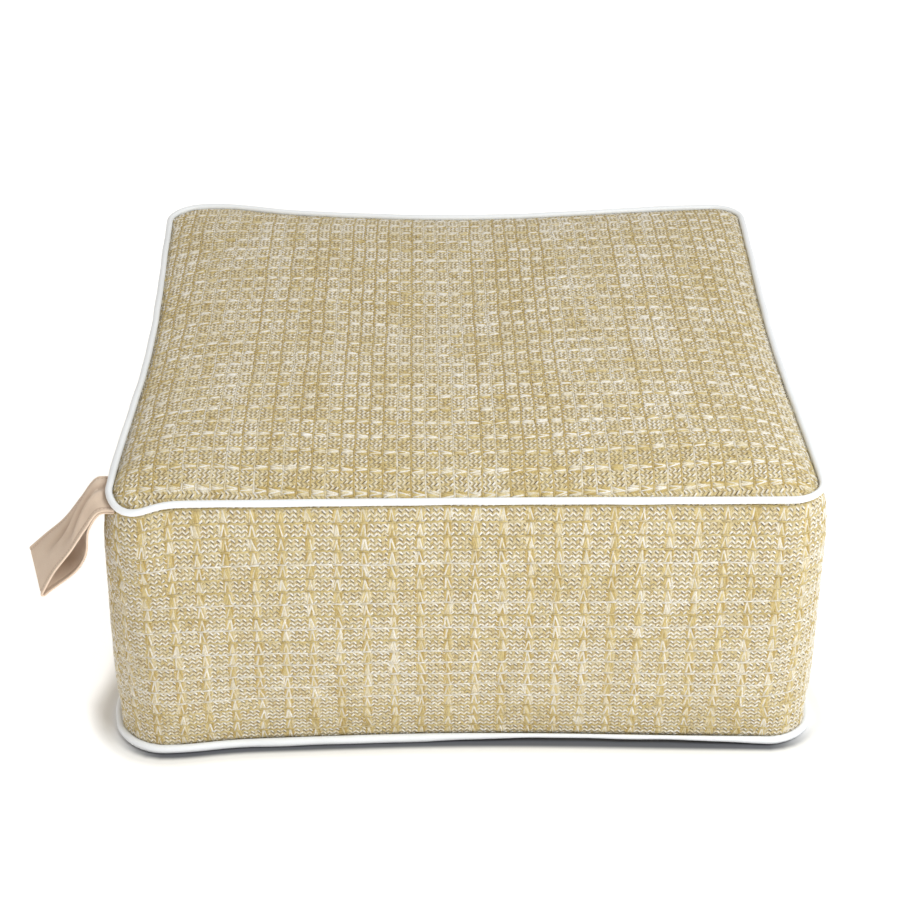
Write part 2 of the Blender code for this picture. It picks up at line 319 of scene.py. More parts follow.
def panel_point(seam, side, part, inset):
    """A point inset from the seam, at the seam's height. part runs from -1 to 1."""
    inner = max(SIDE / 2 - inset, 0.0)
    radius = min(seam["corner_radius"] * exp(-inset / seam["corner_radius"]), inner)
    point = Vector()
    if inner:
        point, _ = rounded_square(side, part * half_length(inner, radius), inner, radius)
    point.z = seam["height"]
    return point + seam_shift(seam, side, part * half_side(seam), inset)


def crown(x, y, inset):
    """The top panel's height over its seam."""
    share = 0.5 + y / SIDE
    full = CROWN_FRONT + (CROWN_BACK - CROWN_FRONT) * share
    off_dish = ((x - DISH_X) / DISH_WIDTH) ** 2 + ((y - DISH_Y) / DISH_LENGTH) ** 2
    hollow = DISH_DEPTH * exp(-off_dish)
    rise = 1 - exp(-max(inset - VALLEY, 0.0) / CROWN_ROLL)
    return full * rise - hollow


def grid_place(x, y):
    """The side, the part along it and the ring of a point of a grid from -1 to 1."""
    ring = max(abs(x), abs(y))
    if ring == 0:
        return FRONT, 0.0, 0.0
    if abs(y) >= abs(x):
        side, part = (FRONT, x) if y < 0 else (BACK, -x)
    else:
        side, part = (RIGHT, y) if x > 0 else (LEFT, -y)
    return side, crowded(part / ring, CORNER_CROWDING), ring


def panel_grid(seam, cells):
    """A panel's points, as a square grid whose outer ring lies in its seam's valley."""
    grid = np.zeros((cells + 1, cells + 1, 3))
    for i, j in np.ndindex(cells + 1, cells + 1):
        side, part, ring = grid_place(2 * i / cells - 1, 2 * j / cells - 1)
        inset = VALLEY + (SIDE / 2 - VALLEY) * (1 - ring) ** RING_POWER
        point = panel_point(seam, side, part, inset)
        if seam is TOP_SEAM:
            point.z += crown(point.x, point.y, inset) - (VALLEY_DROP if ring == 1 else 0)
        else:
            point.z = PIPING_RADIUS + VALLEY_DROP if ring == 1 else 0.0
        grid[i, j] = point
    return grid


def band_point(side, part, level):
    """A point of the side band. level runs from 0 at the bottom seam's lip to 1 at the top one's."""
    low, low_normal = part_point(BASE_SEAM, side, part)
    high, high_normal = part_point(TOP_SEAM, side, part)
    normal = (low_normal * (1 - level) + high_normal * level).normalized()
    height = high.z - low.z
    below = LIP_DOWN + (height - 2 * LIP_DOWN) * (1 - level)
    nearest = min(below, height - below)
    rounded = 1 - exp(-(nearest - LIP_DOWN) / BAND_ROLL)
    overhang = OVERHANG_TOP + (OVERHANG_BASE - OVERHANG_TOP) * below / height
    bulge = BAND_BULGE * (1 - (1 - CORNER_SHARE) * part * part)
    swell = overhang + bulge * sin(pi * below / height)
    point = low.lerp(high, 1 - below / height)
    return point + normal * (LIP_OUT + (swell - LIP_OUT) * rounded)


def ring_of(panel):
    """The outer ring of a grid, counter-clockwise from its first spot."""
    return np.concatenate([panel[:-1, 0], panel[-1, :-1], panel[:0:-1, -1], panel[0, :0:-1]])


def band_grid(cells, levels, top, base):
    """The band's points, round the pouf and up it. The last column is the first."""
    grid = np.zeros((4 * cells, levels + 1, 3))
    for column, (side, part) in enumerate(outline_places(cells)):
        for row, place in enumerate(crowded_places(levels - 2, LEVEL_CROWDING), 1):
            grid[column, row] = band_point(side, part, (1 + place) / 2)
    grid[:, 0] = ring_of(base)
    grid[:, levels] = ring_of(top)
    return np.concatenate([grid, grid[:1]])


def cover_grids(cells, levels):
    top, base = panel_grid(TOP_SEAM, cells), panel_grid(BASE_SEAM, cells)
    return top, band_grid(cells, levels, top, base), base


# -------- meshes


def mesh_object(name, points, faces, material=None, map_faces=None, **maps):
    """An object of points and faces. Its maps have a pair of numbers for each point, or for each number
    in map_faces."""
    mesh = bpy.data.meshes.new(name)
    mesh.from_pydata(points, [], faces)
    corners = list(itertools.chain.from_iterable(faces if map_faces is None else map_faces))
    for map_name, pairs in maps.items():
        pairs = np.array(pairs, dtype=np.float32)[corners]
        mesh.uv_layers.new(name=map_name).data.foreach_set("uv", pairs.ravel())
    mesh.shade_smooth()
    ob = bpy.data.objects.new(name, mesh)
    if material:
        ob.data.materials.append(material)
    bpy.context.scene.collection.objects.link(ob)
    return ob


def grid_faces(rows, columns):
    """The corner numbers of a grid's cells, counter-clockwise round its normals."""
    first = (np.arange(rows - 1)[:, None] * columns + np.arange(columns - 1)).ravel()
    return np.stack([first, first + columns, first + columns + 1, first + 1], axis=1)


def belt_faces(rings, size, closed=False):
    """The corner numbers of the faces between rings of points. A closed belt goes all round."""
    ring, k = np.indices((rings if closed else rings - 1, size)).reshape(2, -1)
    after, beside = (ring + 1) % rings * size, (k + 1) % size
    return np.stack([ring * size + k, after + k, after + beside, ring * size + beside], axis=1)


def unit(vectors):
    return vectors / np.linalg.norm(vectors, axis=-1, keepdims=True)


def grid_normals(grid, closed=False):
    """The normals of a grid of points. A closed one repeats its first row as its last."""
    if closed:
        around = np.concatenate([grid[-2:-1], grid, grid[1:2]])
        along = around[2:] - around[:-2]
    else:
        along = np.gradient(grid, axis=0)
    return unit(np.cross(along, np.gradient(grid, axis=1)))


def cloth_solid(name, grid, map_grid, material, closed=False):
    """A grid of points as cloth with a thickness: an outer face, an inner one and rims between."""
    rows, columns = grid.shape[:2]
    inner = grid - grid_normals(grid, closed) * CLOTH_THICKNESS
    last = rows - 1 if closed else rows
    count = last * columns
    points = np.concatenate([grid[:last].reshape(-1, 3), inner[:last].reshape(-1, 3)])
    outer_faces = grid_faces(rows, columns)
    spots = np.arange(rows * columns).reshape(rows, columns)
    rims = [(spots[1:, 0], spots[:-1, 0]), (spots[:-1, -1], spots[1:, -1])]
    if not closed:
        rims += [(spots[0, :-1], spots[0, 1:]), (spots[-1, 1:], spots[-1, :-1])]
    rims = np.concatenate([np.stack([a, b, b, a], axis=1) for a, b in rims])
    on_grid = np.concatenate([outer_faces, outer_faces[:, ::-1], rims])
    faces = on_grid % count
    faces[len(outer_faces) : 2 * len(outer_faces)] += count
    faces[2 * len(outer_faces) :, 2:] += count
    return mesh_object(name, points, faces, material, on_grid, cloth=map_grid.reshape(-1, 2))


# -------- materials


class Shader:
    """A material with short calls for its nodes. Inputs are values or sockets."""

    def __init__(self, name, **settings):
        self.material = bpy.data.materials.new(name)
        self.material.use_nodes = True
        self.tree = self.material.node_tree
        self.surface = self.tree.nodes["Principled BSDF"]
        for key, value in settings.items():
            self.surface.inputs[key.replace("_", " ")].default_value = value

    def node(self, kind, inputs=(), **settings):
        made = self.tree.nodes.new("ShaderNode" + kind)
        for key, value in settings.items():
            setattr(made, key, value)
        for key, value in dict(inputs).items():
            self.feed(made.inputs[key], value)
        return made

    def feed(self, socket, value):
        if isinstance(value, bpy.types.NodeSocket):
            self.tree.links.new(value, socket)
        else:
            socket.default_value = value

    def math(self, operation, a, b=0.0, c=0.0):
        return self.node("Math", {0: a, 1: b, 2: c}, operation=operation).outputs[0]

    def between(self, value, low, high, start=0.0, end=1.0):
        inputs = enumerate((value, low, high, start, end))
        return self.node("MapRange", inputs, interpolation_type="SMOOTHSTEP").outputs[0]

    def mix(self, share, a, b, blend="MIX"):
        made = self.node("Mix", data_type="RGBA", blend_type=blend)
        for number, value in ((0, share), (6, a), (7, b)):
            self.feed(made.inputs[number], value)
        return made.outputs[2]

    def noise(self, vector, scale, detail=2.0):
        return self.node("TexNoise", {"Vector": vector, "Scale": scale, "Detail": detail}).outputs[0]

    def map_axes(self, map_name):
        """A map's place, its x and its y."""
        uv = self.node("UVMap", uv_map=map_name).outputs[0]
        axes = self.node("SeparateXYZ", {0: uv}).outputs
        return uv, axes[0], axes[1]

    def paint(self, colour):
        self.feed(self.surface.inputs["Base Color"], colour)

    def bump(self, height, distance):
        made = self.node("Bump", {"Height": height, "Distance": distance})
        self.feed(self.surface.inputs["Normal"], made.outputs[0])


IVORY = (0.96, 0.94, 0.90, 1.0)
CREAM = (0.81, 0.755, 0.63, 1.0)
STRAW = (0.67, 0.545, 0.255, 1.0)
GOLD = (0.51, 0.37, 0.125, 1.0)
# TAUPE and UMBER are the dark in the gaps between the zigzag rows: painted shade, partly the cloth's own
# dark colour
TAUPE = (0.105, 0.088, 0.078, 1.0)
UMBER = (0.112, 0.080, 0.044, 1.0)
WHITE, WHITE_DULL = (0.89, 0.92, 0.955, 1.0), (0.84, 0.87, 0.905, 1.0)
BLUSH, BLUSH_PALE = (0.76, 0.60, 0.465, 1.0), (0.80, 0.64, 0.50, 1.0)
BLUSH_DARK, BLUSH_THREAD = (0.58, 0.425, 0.315, 1.0), (0.84, 0.69, 0.56, 1.0)


def ground_cloth(name, bundle_pitch, line_pitch, gap_shade_colour):
    """The cloth under the raised yarns: straw yarn, with painted shade in the gaps under the strokes,
    partly the cloth's own dark colour.
    """
    shader = Shader(name, Roughness=0.9, Sheen_Weight=0.15, Sheen_Roughness=0.5)
    calc, between = shader.math, shader.between
    uv, u, v = shader.map_axes("cloth")
    stroke = bundle_pitch / STROKES
    row_pitch = line_pitch / ZIGZAG_ROWS

    # the place in the zigzag's rows, and the gap between two of them
    block = calc("FLOORED_MODULO", u, bundle_pitch)
    turn = calc("PINGPONG", calc("SUBTRACT", block, stroke), stroke)
    rise = calc("MULTIPLY_ADD", turn, ZIGZAG_HEIGHT / stroke, -ZIGZAG_HEIGHT / 2)
    up = calc("SUBTRACT", calc("FLOORED_MODULO", v, line_pitch), rise)
    row = calc("MULTIPLY_ADD", up, 1 / row_pitch, GAP_SHIFT)
    place = calc("FRACT", row)
    gap = calc("MULTIPLY", between(place, *GAP_OPENS), between(place, *GAP_CLOSES, 1.0, 0.0))

    # the painted shade is darker where the stroke over it is pale, and differs by chance
    rising = calc("GREATER_THAN", calc("FRACT", calc("DIVIDE", block, 2 * stroke)), 0.5)
    tilt = calc("MULTIPLY_ADD", rising, 2.0, -1.0)
    lean = calc("MULTIPLY", calc("SUBTRACT", 1.0, calc("FLOOR", row)), tilt)
    strength = calc("MULTIPLY_ADD", lean, GAP_LEAN, GAP_DARK)
    column = calc("FLOOR", calc("DIVIDE", u, stroke))
    cell = shader.node("CombineXYZ", {0: column, 1: calc("FLOOR", calc("DIVIDE", v, row_pitch))})
    chance = shader.node("TexWhiteNoise", {"Vector": cell.outputs[0]}, noise_dimensions="2D").outputs[0]
    strength = calc("MULTIPLY", strength, between(chance, 0.0, 1.0, *GAP_CHANCE))

    # the blocks between the bundles and the lines alone have gaps, and painted shade at the turns
    # between two strokes
    from_middle = calc("ABSOLUTE", calc("SUBTRACT", block, bundle_pitch / 2))
    reach = bundle_pitch / 2 - stroke
    in_block = between(from_middle, reach - GAP_EDGE, reach + GAP_EDGE, 1.0, 0.0)
    near_turn = between(calc("PINGPONG", block, stroke / 2), *TURN_REACH, TURN_DARK, 0.0)
    dark = calc("MAXIMUM", calc("MULTIPLY", gap, strength), near_turn)
    off_line = between(calc("PINGPONG", v, line_pitch / 2), *LINE_REACH)
    dark = calc("MULTIPLY", calc("MULTIPLY", dark, in_block), off_line)

    patches = shader.noise(uv, 90.0)
    fibres = shader.noise(uv, 900.0, 3.0)
    yarn = shader.mix(between(patches, 0.35, 0.65), GOLD, STRAW)
    pale = calc("MULTIPLY_ADD", in_block, 0.12, between(fibres, 0.45, 0.7, 0.0, 0.5))
    # the gaps and turns get their painted shade over the yarn's colour
    shader.paint(shader.mix(dark, shader.mix(pale, yarn, CREAM), gap_shade_colour))
    shader.bump(calc("SUBTRACT", calc("MULTIPLY", fibres, 0.5), dark), 0.0006)
    return shader.material


def yarn_material():
    """The raised yarns. The map's x picks the yarn's colour, and its fibres run along y."""
    shader = Shader("woven_yarn", Roughness=0.85, Sheen_Weight=0.2, Sheen_Roughness=0.5)
    uv, shade, _ = shader.map_axes("OFBake")
    ramp = shader.node("ValToRGB", {0: shade})
    elements = ramp.color_ramp.elements
    elements[0].color, elements[1].color = IVORY, GOLD
    elements[1].position = 0.90
    elements.new(0.30).color = CREAM
    elements.new(0.60).color = STRAW
    stretched = shader.node("Mapping", {"Vector": uv, "Scale": (600.0, 40.0, 1.0)}).outputs[0]
    fibres = shader.noise(stretched, 1.0, 2.0)
    depth = shader.between(fibres, 0.3, 0.7, 0.78, 1.06)
    grey = shader.node("CombineColor", {0: depth, 1: depth, 2: depth}).outputs[0]
    shader.paint(shader.mix(1.0, ramp.outputs[0], grey, "MULTIPLY"))
    shader.bump(fibres, 0.0002)
    return shader.material


def piping_material():
    """White coated cloth over a cord, with a fine grain and a slight gloss."""
    gloss = {"Specular_IOR_Level": 0.45, "Coat_Weight": 0.08, "Coat_Roughness": 0.35}
    shader = Shader("white_piping", Roughness=0.42, **gloss)
    place = shader.node("TexCoord").outputs["Object"]
    grime = shader.noise(place, 14.0, 3.0)
    shader.paint(shader.mix(shader.between(grime, 0.35, 0.75), WHITE, WHITE_DULL))
    grain = shader.noise(place, 1400.0, 2.0)
    creases = shader.noise(place, 160.0, 2.0)
    shader.bump(shader.math("MULTIPLY_ADD", creases, 2.0, grain), 0.0002)
    return shader.material


def tape_material():
    """Blush tape: a fine plain weave, with painted shade along its sewn grooves and in its creases."""
    shader = Shader("blush_tape", Roughness=0.8, Sheen_Weight=0.25, Sheen_Roughness=0.5)
    calc, between = shader.math, shader.between
    uv, x, y = shader.map_axes("tape")
    turns = [calc("MULTIPLY", axis, 2 * pi / THREAD_PITCH) for axis in (x, y)]
    threads = calc("MULTIPLY", *(calc("SINE", turn) for turn in turns))
    patches = shader.noise(uv, 70.0, 3.0)
    colour = shader.mix(between(patches, 0.3, 0.7), BLUSH, BLUSH_PALE)
    colour = shader.mix(between(threads, -1.0, 0.4, 0.35, 0.0), colour, BLUSH_DARK)
    # painted shade along the sewn grooves and in the creases, darker where a crease sinks deeper
    off_sewing = calc("SUBTRACT", calc("ABSOLUTE", x), SEWN_AT * TAPE_WIDTH / 2)
    sewing = between(calc("ABSOLUTE", off_sewing), 0.0007, 0.0014, 0.85, 0.0)
    _, sunk, _ = shader.map_axes("creases")
    painted_shade = calc("MAXIMUM", sewing, between(sunk, 0.0, 0.0030, 0.0, 0.8))
    shader.paint(shader.mix(painted_shade, colour, BLUSH_DARK))
    shader.bump(calc("MULTIPLY_ADD", patches, 2.0, threads), 0.0001)
    return shader.material


# -------- the tape loop


def smooth_between(rows, place):
    """A Catmull-Rom curve through rows of vectors, place counting the rows."""
    first = min(int(place), len(rows) - 2)
    t = place - first
    before, start, end, after = (rows[min(max(first + k, 0), len(rows) - 1)] for k in (-1, 0, 1, 2))
    return (
        start * 2
        + (end - before) * t
        + (before * 2 - start * 5 + end * 4 - after) * t**2
        + (start * 3 - before - end * 3 + after) * t**3
    ) / 2


def handle_root(across):
    """A point of the outer layer's sewn end. across runs from -1 at the back to 1 at the front."""
    side, along = HANDLE_SIDE, HANDLE_MIDDLE + across * TAPE_WIDTH / 2
    if along > half_side(TOP_SEAM):
        side, along = FRONT, along - 2 * half_side(TOP_SEAM)
    point, normal = seam_point(TOP_SEAM, side, along)
    return point + normal * HANDLE_ROOT_OUT - Vector((0, 0, HANDLE_ROOT_DOWN))


def station_point(station, across):
    """A point of the outer layer at one of the stations."""
    x, y, z, turn, tip, arch = station[:6]
    turn, tip = radians(turn), radians(tip)
    width = Vector((sin(turn) * cos(tip), -cos(turn) * cos(tip), -sin(tip)))
    raised = ARCH_TOWARDS * arch * (1 - across * across)
    return Vector((x, y, z)) + width * across * TAPE_WIDTH / 2 + raised


def outer_layer(place, across):
    """A point of the outer layer. place is 0 at the root and counts the stations to the fold."""
    rows = [handle_root(across)] + [station_point(s, across) for s in HANDLE_STATIONS]
    return smooth_between(rows, place)


def handle_point(place, across):
    """A point of the tape and its outward normal. place runs out, round the fold and back."""
    last, step = LAST_STATION, SLOPE_STEP
    out = min(place, 2 * last + 1 - place, last)
    point = outer_layer(out, across)
    forward = outer_layer(min(out + step, last), across) - outer_layer(max(out - step, 0), across)
    width = outer_layer(out, min(across + step, 1)) - outer_layer(out, max(across - step, -1))
    forward.normalize()
    normal = forward.cross(width).normalized()
    if place <= last:
        return point, normal
    if place < last + 1:
        turn = pi * (place - last)
        outward = normal * cos(turn) + forward * sin(turn)
        return point + (outward - normal) * FOLD_RADIUS, outward
    offs = [Vector((TAPE_THICKNESS + HANDLE_GAP, 0))] + [Vector(s[6:]) for s in HANDLE_STATIONS]
    off = smooth_between(offs, out)
    return point - normal * (off.x + off.y * (1 - across) / 2), -normal


def crease_rise(place, across):
    """How far the outer layer's creases raise it."""
    rise = 0.0
    for place0, across0, place1, across1, height, width in HANDLE_CREASES:
        part = (place - place0) / (place1 - place0)
        if 0 < part < 1:
            away = (across - across0 - (across1 - across0) * part) / width
            rise += height * sin(pi * part) ** 0.7 * exp(-away * away)
    return rise


def tape_half(across):
    """Half the tape's thickness: more at its hems, and less where they are sewn down."""
    hem, groove = (exp(-(((abs(across) - at) / HEM_REACH) ** 2)) for at in (HEM_AT, SEWN_AT))
    return TAPE_THICKNESS * (HALF_BODY + HEM_RISE * hem - GROOVE * groove)


def tape_places():
    """The tape's rows, as places along it."""
    out = [LAST_STATION * k / TAPE_CELLS_ALONG for k in range(TAPE_CELLS_ALONG + 1)]
    fold = [LAST_STATION + k / FOLD_CELLS for k in range(1, FOLD_CELLS)]
    return out + fold + [2 * LAST_STATION + 1 - place for place in out[::-1]]


def make_tape(material):
    """The tape as a closed solid, and its outer face as a stretch of cloth to sew on."""
    ring = crowded_places(TAPE_CELLS_ACROSS, TAPE_CROWDING)
    half = [tape_half(across) for across in ring]
    half[0] = half[-1] = TAPE_THICKNESS * HALF_RIM
    section = list(zip(ring, half)) + [(a, -h) for a, h in zip(ring[::-1], half[::-1])]
    places = tape_places()
    runs = arc_length([handle_point(place, 0.0)[0] for place in places])
    points, uv, sunk, outside = [], [], [], []
    for place, run in zip(places, runs):
        for across, off in section:
            point, normal = handle_point(place, across)
            rise = crease_rise(place, across)
            points.append(tuple(point + normal * (off + rise)))
            uv.append((across * TAPE_WIDTH / 2, run))
            sunk.append((-rise if off > 0 else 0.0, 0.0))
            if off > 0:
                outside.append((points[-1], tuple(normal)))
    size = len(section)
    rows = len(places)
    ends = [range(size)[::-1], range((rows - 1) * size, rows * size)]
    faces = [*belt_faces(rows, size)[:, [0, 3, 2, 1]], *ends]
    ob = mesh_object("handle_tape", points, faces, material, tape=uv, creases=sunk)
    face = np.array(outside).reshape(rows, len(ring), 2, 3)
    v_table = np.array(ring) * TAPE_WIDTH / 2
    return ob, Laid(face[:, :, 0], face[:, :, 1], runs, v_table, np.zeros(face.shape[:2]))


def make_stitches(laid, material):
    """The two rows of stitches that hold the tape's hems down."""
    u = np.arange(SEWING_START, laid.u_table[-1] - SEWING_END, STITCH_PITCH)
    v = np.repeat((-SEWN_AT, SEWN_AT), len(u)) * TAPE_WIDTH / 2
    start = np.stack([np.tile(u, 2), v], axis=1)
    end = start + (STITCH_PITCH * STITCH_SHARE, 0.0)
    stitches = yarns(start, end, np.full(len(v), STITCH_WIDTH), STITCH_RISE, 0.5)
    dress(yarn_mesh("handle_stitches", laid, [stitches], material), "handle_strap")


# -------- the pieces


def arc_length(points):
    steps = np.linalg.norm(np.diff(points, axis=0), axis=1)
    return np.concatenate([[0.0], np.cumsum(steps)])


class Laid:
    """A stretch of cloth lying on a grid of points, whose first index runs with u."""

    def __init__(self, grid, normals, u_table, v_table, off=None):
        self.grid, self.normals = grid, normals
        self.u_table, self.v_table = u_table, v_table
        self.closed = off is None
        self.off = np.zeros(grid.shape[:2]) if self.closed else off  # how far a spot is off the cloth

    def place(self, points):
        """Where points of the cloth lie, at its edge if they are off it, and how far off they are."""
        u, v, height = np.moveaxis(points, -1, 0)
        u, v = u + wobble(u, v, 0), v + wobble(u, v, 1)
        if self.closed:
            u = (u - self.u_table[0]) % (self.u_table[-1] - self.u_table[0]) + self.u_table[0]
        cells, shares, past = [], [], 0.0
        for run, table in ((u, self.u_table), (v, self.v_table)):
            spot = np.interp(run, table, np.arange(len(table)))
            cells.append(np.minimum(spot.astype(int), len(table) - 2))
            shares.append(spot - cells[-1])
            past = np.maximum(past, np.abs(run - np.clip(run, table[0], table[-1])))
        i, j = cells

        def blend(values):
            a, b = shares if values.ndim == 2 else (share[..., None] for share in shares)
            near = values[i, j] * (1 - b) + values[i, j + 1] * b
            return near * (1 - a) + (values[i + 1, j] * (1 - b) + values[i + 1, j + 1] * b) * a

        lifted = blend(self.grid) + unit(blend(self.normals)) * height[..., None]
        return lifted, np.maximum(past, blend(self.off))


def waves(u, v, rows):
    """A sum of sines, whose wave numbers, phases and heights are given in rows."""
    return sum(height * np.sin(k * u + m * v + phase) for k, m, phase, height in rows)


def wave_rows(count, shortest, longest, height):
    """Waves of random lengths between two, in random directions."""
    rows = []
    for _ in range(count):
        number = 2 * pi / random.uniform(shortest, longest)
        heading = random.uniform(0, 2 * pi)
        phase = random.uniform(0, 6.28)
        rows.append((number * cos(heading), number * sin(heading), phase, height))
    return rows


WOBBLES = [wave_rows(5, 0.035, 0.13, 0.00022) for _ in range(2)]
PATCHES = wave_rows(6, 0.03, 0.16, 0.4)
# How far the thin lines' shades lie off the middle, again from the first after 29 lines
LINE_SHADES = np.where(random.uniform(0, 1, 29) < 0.5, -0.25, 0.13)


def wobble(u, v, axis):
    """How far the weave's lines wander."""
    return waves(u, v, WOBBLES[axis])


def cloth_map(u, v):
    """The map of the weave, whose lines run straight on it."""
    return np.stack([u - wobble(u, v, 0), v - wobble(u, v, 1)], axis=-1)


def yarns(start, end, width, height, shade):
    """Closed strands between pairs of spots: each is a ridge over four corners in the ground."""
    count = len(start)
    step = end - start
    aside = unit(np.stack([-step[:, 1], step[:, 0]], axis=1)) * (width / 2 * PINCH)[:, None]
    run = random.uniform(0.02, 0.85, count)
    points = np.full((count, 6, 3), YARN_TIP)
    maps = np.zeros((count, 6, 2))
    for spot, (share, way) in enumerate(YARN_CORNERS):
        points[:, spot, :2] = start + step * share + aside * way
        maps[:, spot, 0] = np.clip(shade, 0.01, 0.99) + way * SHADE_WIDTH
        maps[:, spot, 1] = run + YARN_RUN * share
    points[:, 2, 2] = points[:, 3, 2] = height
    return points, maps


def cells_of(laid, *pitches):
    """The lowest corner of every repeat of the weave that touches the cloth."""
    spots = [
        np.arange(np.floor(table[0] / pitch), np.ceil(table[-1] / pitch)) * pitch
        for table, pitch in zip((laid.u_table, laid.v_table), pitches)
    ]
    return np.stack(np.meshgrid(*spots, indexing="ij"), axis=-1).reshape(-1, 2)


def ends_of(corner, first, last, scatter):
    """The two ends of one yarn in every repeat, each a little off its spot."""
    return [corner + spot + random.uniform(-scatter, scatter, corner.shape) for spot in (first, last)]


def sizes_of(count, width, rise, spans):
    """The widths and rises of yarns, around the usual ones."""
    return [size * random.uniform(*span, count) for size, span in zip((width, rise), spans)]


def patch_shade(corner):
    """How gold the cloth is around each place, from 0 to 1."""
    return np.clip(0.5 + 0.5 * waves(corner[:, 0], corner[:, 1], PATCHES), 0, 1)


def zigzag_yarns(corner, bundle_pitch, line_pitch, gilt):
    """The rows of slanted strokes between the bundles. Low in a block the rising ones are pale, and high
    in it the falling ones."""
    stroke = bundle_pitch / STROKES
    gold = patch_shade(corner)
    count = len(corner)
    for row, k in itertools.product(range(ZIGZAG_ROWS), range(1, STROKES - 1)):
        tilt = 1 if k % 2 else -1
        lean = (1 - row) * tilt
        middle = np.array(((k + 0.5) * stroke, (row + 0.5) * line_pitch / ZIGZAG_ROWS))
        reach = np.array((stroke, tilt * ZIGZAG_HEIGHT)) * (0.5 + STROKE_OVERLAP)
        start, end = ends_of(corner, middle - reach, middle + reach, STROKE_SCATTER)
        widths, heights = sizes_of(count, STROKE_WIDTH, STROKE_RISE, STROKE_SPANS)
        shade = STROKE_SHADE + STROKE_SHADES * random.beta(*STROKE_POWERS, count)
        shade += (STROKE_PATCHES + 0.5 * gilt) * (gold - 0.5) + 0.9 * gilt - STROKE_LEAN_SHADE * lean
        yield yarns(start, end, widths * (1 + STROKE_LEAN_WIDTH * lean), heights, shade)


def bundle_yarns(corner, line_pitch, gilt):
    """The thick bundles: in each repeat pale legs spread from a point, with gold between."""
    scale = np.array((BUNDLE_WIDTH / 2, line_pitch))
    count = len(corner)
    lean = random.uniform(-BUNDLE_LEAN, BUNDLE_LEAN, count) * BUNDLE_WIDTH / 2
    gold = patch_shade(corner)
    for first, last, width, rise, shades in BUNDLE_FORMS:
        start, end = ends_of(corner, first * scale, last * scale, BUNDLE_SCATTER)
        start[:, 0] += lean
        shade = random.uniform(*shades, count)
        swapped = random.uniform(0, 1, count) < SWAPPED
        shade = np.where(swapped, 0.80 - 0.5 * shade, shade) + BUNDLE_PATCHES * (gold - 0.5) - 0.6 * gilt
        yield yarns(start, end, *sizes_of(count, width, rise, BUNDLE_SPANS), shade)


def line_yarns(corner, bundle_pitch, line_pitch, gilt):
    """The thin lines across bundles and blocks. Each keeps its colour all along, gold or cream."""
    number = np.round(corner[:, 1] / line_pitch).astype(int)
    count = len(corner)
    spans = (
        # from u, to u, width, rise
        (-0.60 * BUNDLE_WIDTH, 0.60 * BUNDLE_WIDTH, 0.0021, 0.0013),
        (0.45 * BUNDLE_WIDTH, bundle_pitch - 0.45 * BUNDLE_WIDTH, 0.0022, 0.0009),
    )
    for u0, u1, width, rise in spans:
        start, end = ends_of(corner, (u0, 0.0), (u1, 0.0), LINE_SCATTER)
        shade = LINE_SHADE + 1.2 * gilt + LINE_SHADES[number % len(LINE_SHADES)] * (1 + gilt)
        shade += random.uniform(-LINE_SPREAD, LINE_SPREAD, count)
        yield yarns(start, end, *sizes_of(count, width, rise, LINE_SPANS), shade)


def make_yarns(name, laid, corner, bundle_pitch, line_pitch, gilt, material):
    """The raised yarns of some repeats, as one mesh. gilt makes bundles paler and all else golden."""
    groups = [
        *zigzag_yarns(corner, bundle_pitch, line_pitch, gilt),
        *bundle_yarns(corner, line_pitch, gilt),
        *line_yarns(corner, bundle_pitch, line_pitch, gilt),
    ]
    dress(yarn_mesh(name, laid, groups, material), "cushion")


def yarn_mesh(name, laid, groups, material):
    """Groups of yarns as one mesh. A yarn that runs off the cloth is left out."""
    points, maps = map(np.concatenate, zip(*groups))
    points, off = laid.place(points)
    kept = off[:, off.shape[1] // 2] < SELVAGE
    points, maps = points[kept], maps[kept]
    faces = (np.arange(len(points))[:, None, None] * points.shape[1] + YARN_FACES).reshape(-1, 3)
    return mesh_object(name, points.reshape(-1, 3), faces, material, OFBake=maps.reshape(-1, 2))


def dress(piece, node):
    """piece rides with the pouf and stands for a node of the part."""
    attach(piece, "root")
    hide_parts(node)


def lay_band(band):
    """The band's cloth: u runs round it from one bundle, and v up from one thin line."""
    waist, front_middle = BAND_LEVELS, CLOTH_CELLS
    around = arc_length(band[:, waist])
    upward = np.mean([arc_length(column) for column in band], axis=0)
    u_start = around[front_middle] + BAND_BUNDLE_X
    v_start = np.interp(BAND_LINE_Z, band[front_middle, :, 2], upward)
    down = v_start - upward
    v_table = -down * (1 + BAND_LINE_CLOSING * np.abs(down))
    return Laid(band, grid_normals(band, closed=True), around - u_start, v_table)


def lay_top(top_panel):
    """The top's cloth, as a grid in plan: u runs to the front and v to the right."""
    tree = BVHTree.FromObject(top_panel, bpy.context.evaluated_depsgraph_get())
    count = round(SIDE / TOP_MAP_STEP)
    spots = (np.arange(count + 1) / count - 0.5) * SIDE
    grid, normals = np.zeros((2, count + 1, count + 1, 3))
    off = np.zeros((count + 1, count + 1))
    for i, y in enumerate(spots[::-1]):
        for j, x in enumerate(spots):
            found, normal = tree.ray_cast(Vector((x, y, 1.0)), Vector((0, 0, -1)))[:2]
            if not found:
                found, normal = tree.find_nearest(Vector((x, y, TOP_SEAM["height"])))[:2]
                normal = normal if normal.z > 0 else -normal
                off[i, j] = hypot(found.x - x, found.y - y)
            grid[i, j], normals[i, j] = found, normal
    line = grid[:, round(count * 0.4)].copy()
    line[:, 1] = spots[::-1]
    u_table = arc_length(line)
    u_start = np.interp(-TOP_BUNDLE_Y, -spots[::-1], u_table)
    return Laid(grid, normals, u_table - u_start, spots - TOP_LINE_X, off)


